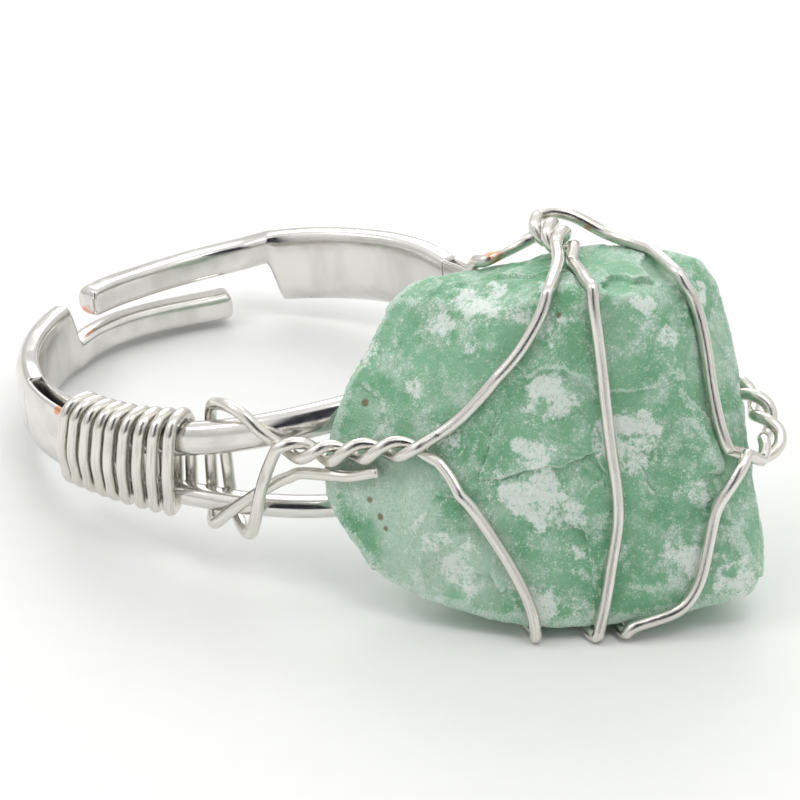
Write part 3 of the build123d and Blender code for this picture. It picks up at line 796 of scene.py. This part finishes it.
RIGHT_UPPER_HOOK = [
    # turn, outwards, upwards
    (34, 1.05, 0.72), (36, 0.85, 1), (37.5, 0.1, 1.05), (38.6, -0.88, 0.98), (39.2, -1.05, 0.6),
    (39.4, -1.05, 0.25),
]
RIGHT_LOWER_HOOK = [
    # turn, outwards, upwards
    (34, 1.05, -0.62), (36, 0.9, -0.97), (37.5, 0.1, -1.05), (38.6, -0.88, -0.98), (39.2, -1.05, -0.6),
    (39.4, -1.05, -0.3),
]
SECOND_WIRE = [
    # turn, rise, lift
    (-57, -4, 0.1), (-54, -9, 0), (-48, -22, 0), (-45, -41, 0), (-42, -55, 0), (-39, -66, 0), (-38, -72, 0),
    (-42, -76, 0), (-52, -78, 0), (-70, -78, 0), (-112, -72, 0), (-140, -58, 0), (-152, -38, 0),
    (-158, -14, 0), (-160, 12, 0), (-156, 38, 0), (-146, 58, 0), (-122, 70, 0), (-95, 78, 0.1),
    (-140, 83, 0.4), (170, 84, 0.9),
]
THIRD_WIRE = [
    # turn, rise, lift
    (43, 70, 0), (35, 63, 0), (27, 53, 0), (25, 46, 0), (29, 35, 0), (32, 22, 0), (36, -1, 0), (43, -32, 0),
    (46, -47, 0), (46, -63, 0), (46, -73, 0), (43, -79, 0), (52, -83, 0), (118, -86, 0), (143, -81, 0),
    (122, -77, 0), (100, -76, 0), (80, -75, 0), (62, -72, 0), (71, -65, 0), (76, -57, 0), (76, -49, 0),
    (74, -39, 0), (72, -28, 0), (71, -20, 0.3), (72, -14, 1.1), (75, -10, 1.3),
]
LEFT_WINDING = (-0.22, 2.06, 1.0)
TOP_WINDING = (0.0, -1.20, 1.25)
RIGHT_WINDING = (0.25, 4.75, 1.14)
EASING_PASSES = 14


def clear_of_stone(points, stand):
    """The points, or where one is too near, the place straight out from the stone's middle that is not: the
    middle + way x the least of (distance + stand) / (cut's direction . way), if that is more than 1."""
    way = points - stone_middle
    facing = way @ cut_ways.T
    reach = (cut_reach + np.asarray(stand)[..., None]) / np.maximum(facing, 1e-9)
    reach = np.where(facing > 1e-9, reach, np.inf)
    return stone_middle + way * np.maximum(1.0, reach.min(-1))[:, None]


def ways_of(turn, rise):
    """Directions from the stone's middle, from turns to its right and rises towards its top."""
    turn, rise = np.radians(turn), np.radians(rise)
    level = stone_out * np.cos(turn)[..., None] + stone_across * np.sin(turn)[..., None]
    return level * np.cos(rise)[..., None] + stone_up * np.sin(rise)[..., None]


def on_stone(rows):
    """Points at each row's turn and rise as seen from the stone's middle, lifted off it."""
    turn, rise, lift = np.array(rows, float).T
    return clear_of_stone(stone_middle + ways_of(turn, rise) * GAP, wire_stand + lift * WIRE)


def at_prongs(rows):
    """Points beside the prongs: outwards and upwards are shares of the way round both of them."""
    turn, out, up = np.array(rows, float).T
    radius = prong_radius(turn) + out * out_reach
    return outwards(turn) * radius[:, None] + (up * prong_edge(turn, up))[:, None] * UPWARD


def lying(rows):
    """A wire pulled over the stone: its line is eased by the weights 1, 2, 1 and pushed clear, many times."""
    line = smooth_line(on_stone(rows))
    for _ in range(EASING_PASSES):
        eased = (line[:-2] + 2 * line[1:-1] + line[2:]) / 4
        line[1:-1] = clear_of_stone(eased, np.full(len(eased), wire_stand))
    return line


def strands(axis_line, winding):
    """Two wires twisted round a line: offset = r (cos a upwards - sin a away), half a turn from each other."""
    start, turns, apart = winding
    lengths = distance_along(axis_line)
    along = unit(np.gradient(axis_line, axis=0))
    away = axis_line - stone_middle
    away = unit(away - along * (away * along).sum(1, keepdims=True))
    upwards = np.cross(away, along)
    pair = []
    for half in (0.0, 0.5):
        angle = 2 * pi * (start + half + turns * lengths / lengths[-1])[:, None]
        pair.append(axis_line + (upwards * np.cos(angle) - away * np.sin(angle)) * wire_stand * apart)
    return pair


left_first, left_second = strands(
    smooth_line(np.concatenate([at_prongs([LEFT_TWIST_START]), on_stone(LEFT_TWIST)])), LEFT_WINDING)
top_first, top_second = strands(smooth_line(on_stone(TOP_TWIST)), TOP_WINDING)
right_first, right_second = strands(
    smooth_line(np.concatenate([on_stone(RIGHT_TWIST), at_prongs([RIGHT_TWIST_END])])), RIGHT_WINDING)
outer_parts = [at_prongs(LEFT_LOWER_HOOK), left_first, lying(FIRST_WIRE), top_first, lying(LOOP_WIRE),
               right_first, at_prongs(RIGHT_UPPER_HOOK)]
inner_parts = [on_stone(LEFT_TAIL_END), at_prongs(LEFT_UPPER_HOOK), left_second, lying(SECOND_WIRE),
               top_second[::-1], lying(THIRD_WIRE), right_second, at_prongs(RIGHT_LOWER_HOOK)]
cage_lines = {
    "outer_wire": evenly(smooth_line(np.concatenate(outer_parts)), WIRE_STEP),
    "inner_wire": evenly(smooth_line(np.concatenate(inner_parts)), WIRE_STEP),
}
CAGE_COPPER = [
    # x, y, z, radius
    (7.84, -13.14, 7.57, 0.34), (4.15, -12.14, 6.94, 0.45), (11.14, -19.21, -0.19, 0.34), (3.7, -17, 7, 0.14),
]
for name, line in cage_lines.items():
    marks = copper_marks(CAGE_COPPER)
    piece_from_grids("caging_" + name, [tube(line)], name, marks, wire_finish)

# %% [markdown]
# ## The stone's surface
# The stone is one closed skin round its middle: each direction from there has one distance. The cuts give
# that distance as a soft least of all the planes, which rounds the edges as handling does. Shallow round
# scoops, where flakes have sprung off, join in the same way.

# %% Directions over a sphere
STONE_CELLS = 124
GATHER = 0.42


def packed_directions(cells, gather):
    """Directions over the six faces of a cube, evenly turned, then moved by gather towards the broad side and
    made one long again, so that more of them fall where the stone is looked at."""
    s = np.tan(np.linspace(-pi / 4, pi / 4, cells + 1))
    u, v = np.meshgrid(s, s, indexing="ij")
    one = np.ones_like(u)
    faces = [(one, u, v), (-one, v, u), (v, one, u), (u, -one, v), (u, v, one), (v, u, -one)]
    ways = unit(np.stack([np.stack(face, -1) for face in faces]))
    ways[..., 2] += gather
    return unit(ways)


local_ways = packed_directions(STONE_CELLS, GATHER)
stone_ways = local_ways @ np.stack([stone_across, stone_up, stone_out])
print("directions", stone_ways.shape)

# %% Distance in each direction
EDGE_SHARPNESS = 120
SCOOPS = [
    # turn, rise, radius, depth into the broken face
    (-38, 62, 5, 0.28), (-62, 44, 4, 0.24), (-88, 30, 5, 0.14), (-10, 48, 4.5, 0.22), (-92, -28, 3.2, 0.14),
    (-60, -62, 3, 0.2), (-74, -46, 2.6, 0.22), (20, -62, 4, 0.2), (66, -52, 4, 0.2), (88, -34, 3, 0.16),
    (88, 30, 3.4, 0.18), (70, 48, 3.6, 0.2), (40, 52, 3.6, 0.24), (58, -12, 6, 0.2), (-30, 6, 9, 0.2),
    (18, 8, 7, 0.16), (-104, 8, 3.6, 0.14), (118, 20, 4, 0.25), (150, 40, 4.5, 0.25), (-150, 30, 5, 0.25),
]
chip_random = np.random.default_rng(7)
CHIPS, CHIP_DEEP = 70, (0.02, 0.16)


def near_side(ways, centre, radius):
    """1 / distance to the near side of a ball: b - sqrt(b^2 - c^2 + r^2), with b the centre along the way."""
    b = ways @ centre
    inside = b**2 - centre @ centre + radius**2
    hit = (inside > 0) & (b > 0)
    return np.where(hit, 1 / np.maximum(b - np.sqrt(np.maximum(inside, 0)), 0.5), 0.0)


def stone_distance(ways):
    """Soft least of all distances: (sum of (1 / t)^p)^(-1/p), where t is the distance to each cut or scoop."""
    inverse = [np.maximum(ways @ way, 0) / reach for way, reach in zip(cut_ways, cut_reach)]
    plain = 1 / np.max(inverse, axis=0)
    hull = (ways * plain[..., None]).reshape(-1, 3)
    chips = unit(chip_random.normal(size=(CHIPS, 3)))
    support = (hull @ chips.T).max(0) - chip_random.uniform(*CHIP_DEEP, CHIPS)
    inverse += [np.maximum(ways @ way, 0) / reach for way, reach in zip(chips, support)]
    turn, rise, radius, depth = np.array(SCOOPS, float).T
    scoop_ways = ways_of(turn, rise)
    nearness = (scoop_ways @ cut_ways.T) / cut_reach
    centres = scoop_ways / nearness.max(1)[:, None] + cut_ways[nearness.argmax(1)] * (radius - depth)[:, None]
    inverse += [near_side(ways, centre, size) for centre, size in zip(centres, radius)]
    return sum(part**EDGE_SHARPNESS for part in inverse) ** (-1 / EDGE_SHARPNESS)


plain_distance = stone_distance(stone_ways)
print("distance from", round(float(plain_distance.min()), 2), "to", round(float(plain_distance.max()), 2), "mm")

# %% [markdown]
# Milky and chalky patches lie where the stone was crushed. A table names where the large ones are, as seen
# from the stone's middle, and a noise makes their edges ragged. The value is kept on the mesh for the finish.

# %% Patches
PATCHES = [
    # turn, rise, radius, strength
    (0, 24, 0.8, 0.9), (-8, -9, 0.65, 0.8), (-12, -36, 1.05, 1), (46, 2, 1, 0.9), (53, -12, 0.7, 0.7),
    (-68, 48, 0.8, 0.8), (-40, 61, 1.2, 0.9), (-4, 51, 0.9, 0.6), (-89, 33, 1, 0.7), (45, 40, 0.65, 0.9),
    (58, 30, 0.5, 0.8), (-67, 25, 0.5, 0.7), (27, 38, 0.8, 0.5), (-67, -48, 0.9, 0.8), (74, -47, 0.7, 0.9),
    (81, -39, 0.8, 0.8), (-27, -76, 0.8, 0.9), (-69, -30, 0.7, 0.6), (-34, -14, 0.6, 0.5),
    (69, -24, 0.5, 0.6), (82, 35, 0.6, 0.7), (42, -65, 0.7, 0.6), (20, 62, 0.7, 0.6), (120, 30, 1.3, 0.8),
    (160, -10, 1.6, 0.8), (-150, 20, 1.6, 0.8), (-120, -30, 1.2, 0.7), (100, -10, 1, 0.7),
    (18, -50, 0.5, 0.7), (-50, 10, 0.5, 0.6),
]
MILKY = [
    # turn, rise, radius, strength
    (-76, -21, 2.1, 1), (-84, -4, 1.6, 0.9), (-92, 20, 1.6, 0.5), (-62, -40, 1.8, 0.9), (88, 20, 1.6, 0.6),
    (-50, -62, 1.6, 0.7), (74, 46, 1.3, 0.6), (-58, 52, 1.6, 0.5),
]
PATCH_BEND = 0.90


def patch_value(points, rows, cell, seed):
    """The most of any patch: strength x (1.6 - distance / radius), at most the strength, with the distance
    bent by a noise."""
    turn, rise, radius, strength = np.array(rows, float).T
    ways = ways_of(turn, rise)
    centres = ways / np.max((ways @ cut_ways.T) / cut_reach, axis=1)[:, None]
    bent = np.stack([rough(points, cell, seed + k * 9) for k in range(3)], -1)
    value = np.zeros(points.shape[:-1])
    for centre, size, weight in zip(centres, radius, strength):
        distance = np.linalg.norm(points - centre + bent * size * PATCH_BEND, axis=-1)
        value = np.maximum(value, weight * np.clip(1.6 - distance / size, 0, 1))
    return value


stone_points = stone_ways * plain_distance[..., None]
chalk = patch_value(stone_points, PATCHES, 1.1, 21)
milk = patch_value(stone_points, MILKY, 2.4, 61)
print("patches cover", round(float((chalk > 0.5).mean()), 2), "of the stone")

# %% [markdown]
# Quartz breaks into many small faces. Splitting space into cells, each with its own tilted flat face, gives
# that look: the faces meet in creases and little steps. Three sizes of them and soft noises make the relief,
# inwards and outwards. Then the stone is pressed in again wherever a wire, the fork or the table is in the way.

# %% Broken faces
FACE_SIZES = [
    # cell, depth, seed
    (3.2, 0.06, 81), (1.3, 0.04, 91), (0.36, 0.05, 101),
]
BENT, LIFT, HIGHEST, DEEPEST = 0.16, 0.09, 0.20, 0.36
PRESSED, CLOSE = 0.285, 0.55


def shards(points, cell, seed):
    """Broken faces: each point belongs to the nearest of the scattered cell middles and gets the product of
    its offset from that middle and the cell's own random direction, which is a flat tilted face."""
    places = points / cell
    corner = np.floor(places).astype(np.int64)
    nearest, value = np.full(places.shape[:-1], 9.0), np.zeros(places.shape[:-1])
    for step in np.ndindex(3, 3, 3):
        there = corner + np.array(step) - 1
        chances = np.stack([chance(there, seed + k) for k in range(6)], -1)
        offset = places - there - 0.5 - 0.5 * chances[..., :3]
        distance = (offset**2).sum(-1)
        nearer = distance < nearest
        nearest = np.where(nearer, distance, nearest)
        value = np.where(nearer, (offset * chances[..., 3:]).sum(-1), value)
    return value * cell


bent = stone_points + BENT * np.stack([rough(stone_points, 0.9, 111 + k, 3) for k in range(3)], -1)
relief = LIFT + sum(depth * shards(bent, cell, seed) for cell, depth, seed in FACE_SIZES)
relief = relief * (1 - 0.55 * blend_step(milk, 0.3, 0.8)) + 0.06 * rough(stone_points, 1.6, 51)
relief += 0.022 * rough(stone_points, 0.3, 41, 2)
distance = plain_distance + np.clip(relief, -DEEPEST, HIGHEST)
for line in cage_lines.values():
    beads = line[::2] - stone_middle
    beads = beads[(beads @ cut_ways.T - cut_reach).max(1) < CLOSE]
    for bead in beads:
        nearness = near_side(stone_ways, bead, PRESSED)
        distance = np.where(nearness > 0, np.minimum(distance, 1 / np.maximum(nearness, 1e-3)), distance)
for way, reach in zip(cut_ways[-2:], cut_reach[-2:]):
    distance = np.minimum(distance, (reach + 0.03) / np.maximum(stone_ways @ way, 1e-3))
print("relief from", round(float(relief.min()), 2), "to", round(float(relief.max()), 2), "mm")

# %% [markdown]
# Handling whitens what stands out and leaves the hollows deep green. How far a point stands out is its
# distance less the mean of its neighbours' a few grid steps away.

# %% What stands out
AROUND = 3
padded = np.pad(distance, ((0, 0), (AROUND, AROUND), (AROUND, AROUND)), "edge")
span = slice(AROUND, -AROUND)
neighbours = (padded[:, span, 2 * AROUND:] + padded[:, span, :-2 * AROUND]
              + padded[:, 2 * AROUND:, span] + padded[:, :-2 * AROUND, span]) / 4
crest = np.clip(0.5 + (distance - neighbours) / 0.10, 0, 1)
stone_points = stone_middle + stone_ways * distance[..., None]
print("crest from", round(float(crest.min()), 2), "to", round(float(crest.max()), 2))


# %% Stone mesh
faces, rows, columns = stone_points.shape[:3]
f, i, j = (a.ravel() for a in np.meshgrid(np.arange(faces), np.arange(rows - 1), np.arange(columns - 1),
                                          indexing="ij"))
corners = [(i, j), (i + 1, j), (i + 1, j + 1), (i, j + 1)]
stone_quads = np.stack([(f * rows + row) * columns + column for row, column in corners], -1)
stone = finished("uncut_stone", stone_points.reshape(-1, 3), stone_quads, 2e-7, "rough_stone",
                 {"chalk": chalk, "milk": milk, "crest": crest})

# %% [markdown]
# ## The stone's finish
# Aventurine is quartz with tiny green flakes. It is slightly see-through, so light goes a little way in, and
# its broken skin glitters. Slow noise moves the green from deep to pale; the patches turn it milky or
# chalky; fine grains lighten it everywhere; and there are a few brown specks.

# %% Stone material
DEEP_GREEN, MID_GREEN, PALE_GREEN = (0.150, 0.420, 0.220, 1), (0.250, 0.530, 0.330, 1), (0.44, 0.65, 0.51, 1)
MILK_GREEN, CHALK_WHITE = (0.56, 0.73, 0.61, 1), (0.88, 0.96, 0.90, 1)
MIXES = {
    # each white is a sum of values, by weight, that then passes between two limits
    "crushed": [("chalk", 1.0), ("ragged", 2.2), ("grain", 0.9), ("sugar", 0.4)],
    "sprinkled": [("sugar", 1.0), ("grain", 0.8), ("drifts", 0.7)],
    "rubbed": [("crest", 1.0), ("ragged", 1.2), ("sugar", 1.0)],
    "pitted": [("pits", 1.0), ("sugar", -0.3)],
}
SPECKS = [
    # turn, rise, radius
    (-84, 18, 0.1), (-82, -12, 0.07), (-81, -18, 0.09), (-81, -22, 0.06), (12, 49, 0.08),
]
SPECK_BROWN = (0.20, 0.13, 0.06, 1)
stone_finish, rock, rock_shader = new_finish("green_aventurine")
rock_place = node(rock, "ShaderNodeTexCoord")


def rock_noise(scale, detail=4.0, roughness=0.55):
    """Noise on the stone's own coordinates; scale is in waves to the metre."""
    made = node(rock, "ShaderNodeTexNoise", Scale=scale, Detail=detail, Roughness=roughness)
    join(rock, rock_place, made, "Object", "Vector")
    return made


cloudy = rock_noise(330.0, 5.0)
colour = tinted(rock, ranged(rock, cloudy, 0.36, 0.60), DEEP_GREEN, MID_GREEN)
drifts = rock_noise(820.0, 6.0, 0.68)
colour = tinted(rock, ranged(rock, drifts, 0.45, 0.64, 0.0, 0.85), colour, PALE_GREEN)
milk_value = node(rock, "ShaderNodeAttribute", attribute_name="milk")
colour = tinted(rock, ranged(rock, milk_value, 0.25, 0.85, 0.0, 0.8, "Fac"), colour, MILK_GREEN)
ragged_edge, grain = rock_noise(2300.0, 8.0, 0.78), rock_noise(5200.0, 4.0, 0.8)
sugar, pits = rock_noise(15000.0, 2.0, 0.6), rock_noise(6100.0, 3.0, 0.7)
sources = {"ragged": ragged_edge, "grain": grain, "sugar": sugar, "drifts": drifts, "pits": pits}
for name in ("chalk", "crest"):
    sources[name] = node(rock, "ShaderNodeAttribute", attribute_name=name)
sums = {}
for name, parts in MIXES.items():
    total = None
    for part, weight in parts:
        step = node(rock, "ShaderNodeMath", operation="MULTIPLY_ADD")
        step.inputs[1].default_value = weight
        step.inputs[2].default_value = 0.0
        join(rock, sources[part], step, "Fac")
        if total is not None:
            join(rock, total, step, 0, 2)
        total = step
    sums[name] = total
colour = tinted(rock, ranged(rock, sums["crushed"], 2.12, 2.52, 0.0, 0.94), colour, CHALK_WHITE)
colour = tinted(rock, ranged(rock, sums["rubbed"], 1.76, 2.14, 0.0, 0.50), colour, CHALK_WHITE)
colour = tinted(rock, ranged(rock, sums["pitted"], 0.36, 0.52, 0.0, 0.50), colour, MID_GREEN)
colour = tinted(rock, ranged(rock, sums["sprinkled"], 1.26, 1.60, 0.0, 0.80), colour, CHALK_WHITE)
for turn, rise, radius in SPECKS:
    way = ways_of(np.array(float(turn)), np.array(float(rise)))
    centre = stone_middle + way / np.max((cut_ways @ way) / cut_reach)
    distance = node(rock, "ShaderNodeVectorMath", operation="DISTANCE")
    distance.inputs[1].default_value = on_table(centre).tolist()
    join(rock, rock_place, distance, "Object")
    spot = ranged(rock, distance, radius * MM, (radius + 0.10) * MM, 0.85, 0.0, "Value")
    colour = tinted(rock, spot, colour, SPECK_BROWN)
join(rock, colour, rock_shader, 2, "Base Color")
join(rock, ranged(rock, grain, 0.35, 0.65, 0.26, 0.55), rock_shader, 0, "Roughness")
rock_shader.inputs["IOR"].default_value = 1.54
rock_shader.inputs["Subsurface Weight"].default_value = 0.08
rock_shader.inputs["Subsurface Radius"].default_value = (0.5, 1.0, 0.7)
rock_shader.inputs["Subsurface Scale"].default_value = 0.0006
coarse_bump = node(rock, "ShaderNodeBump", Strength=0.7, Distance=0.00015)
join(rock, ragged_edge, coarse_bump, 0, "Height")
fine_bump = node(rock, "ShaderNodeBump", Strength=0.75, Distance=0.00006)
join(rock, sugar, fine_bump, 0, "Height")
join(rock, coarse_bump, fine_bump, 0, "Normal")
join(rock, fine_bump, rock_shader, 0, "Normal")
stone.data.materials.append(stone_finish)
print("stone finish has", len(rock.nodes), "nodes")

# %% [markdown]
# ## The table
# The ring lies on white card. The card is large, so that every mirror line in the metal ends on it.

# %% Table
TABLE_HALF, TABLE_BELOW = 1.5, 0.00002
card = bpy.data.meshes.new("white_card")
corners = np.array([(-1, -1), (1, -1), (1, 1), (-1, 1)]) * TABLE_HALF
level = cad_low[2] - TABLE_BELOW
card.from_pydata([(x, y, level) for x, y in corners], [], [(0, 1, 2, 3)])
table = bpy.data.objects.new("white_card", card)
bpy.context.scene.collection.objects.link(table)
card_finish, card_tree, card_shader = new_finish("card")
fibre = node(card_tree, "ShaderNodeTexNoise", Scale=900.0, Detail=4.0)
card_place = node(card_tree, "ShaderNodeTexCoord")
join(card_tree, card_place, fibre, "Object", "Vector")
card_colour = tinted(card_tree, fibre, (0.86, 0.865, 0.855, 1), (0.885, 0.89, 0.88, 1))
join(card_tree, card_colour, card_shader, 2, "Base Color")
card_shader.inputs["Roughness"].default_value = 0.85
card_shader.inputs["Specular IOR Level"].default_value = 0.2
card.materials.append(card_finish)
print("table at", round(level * 1000, 2), "mm")
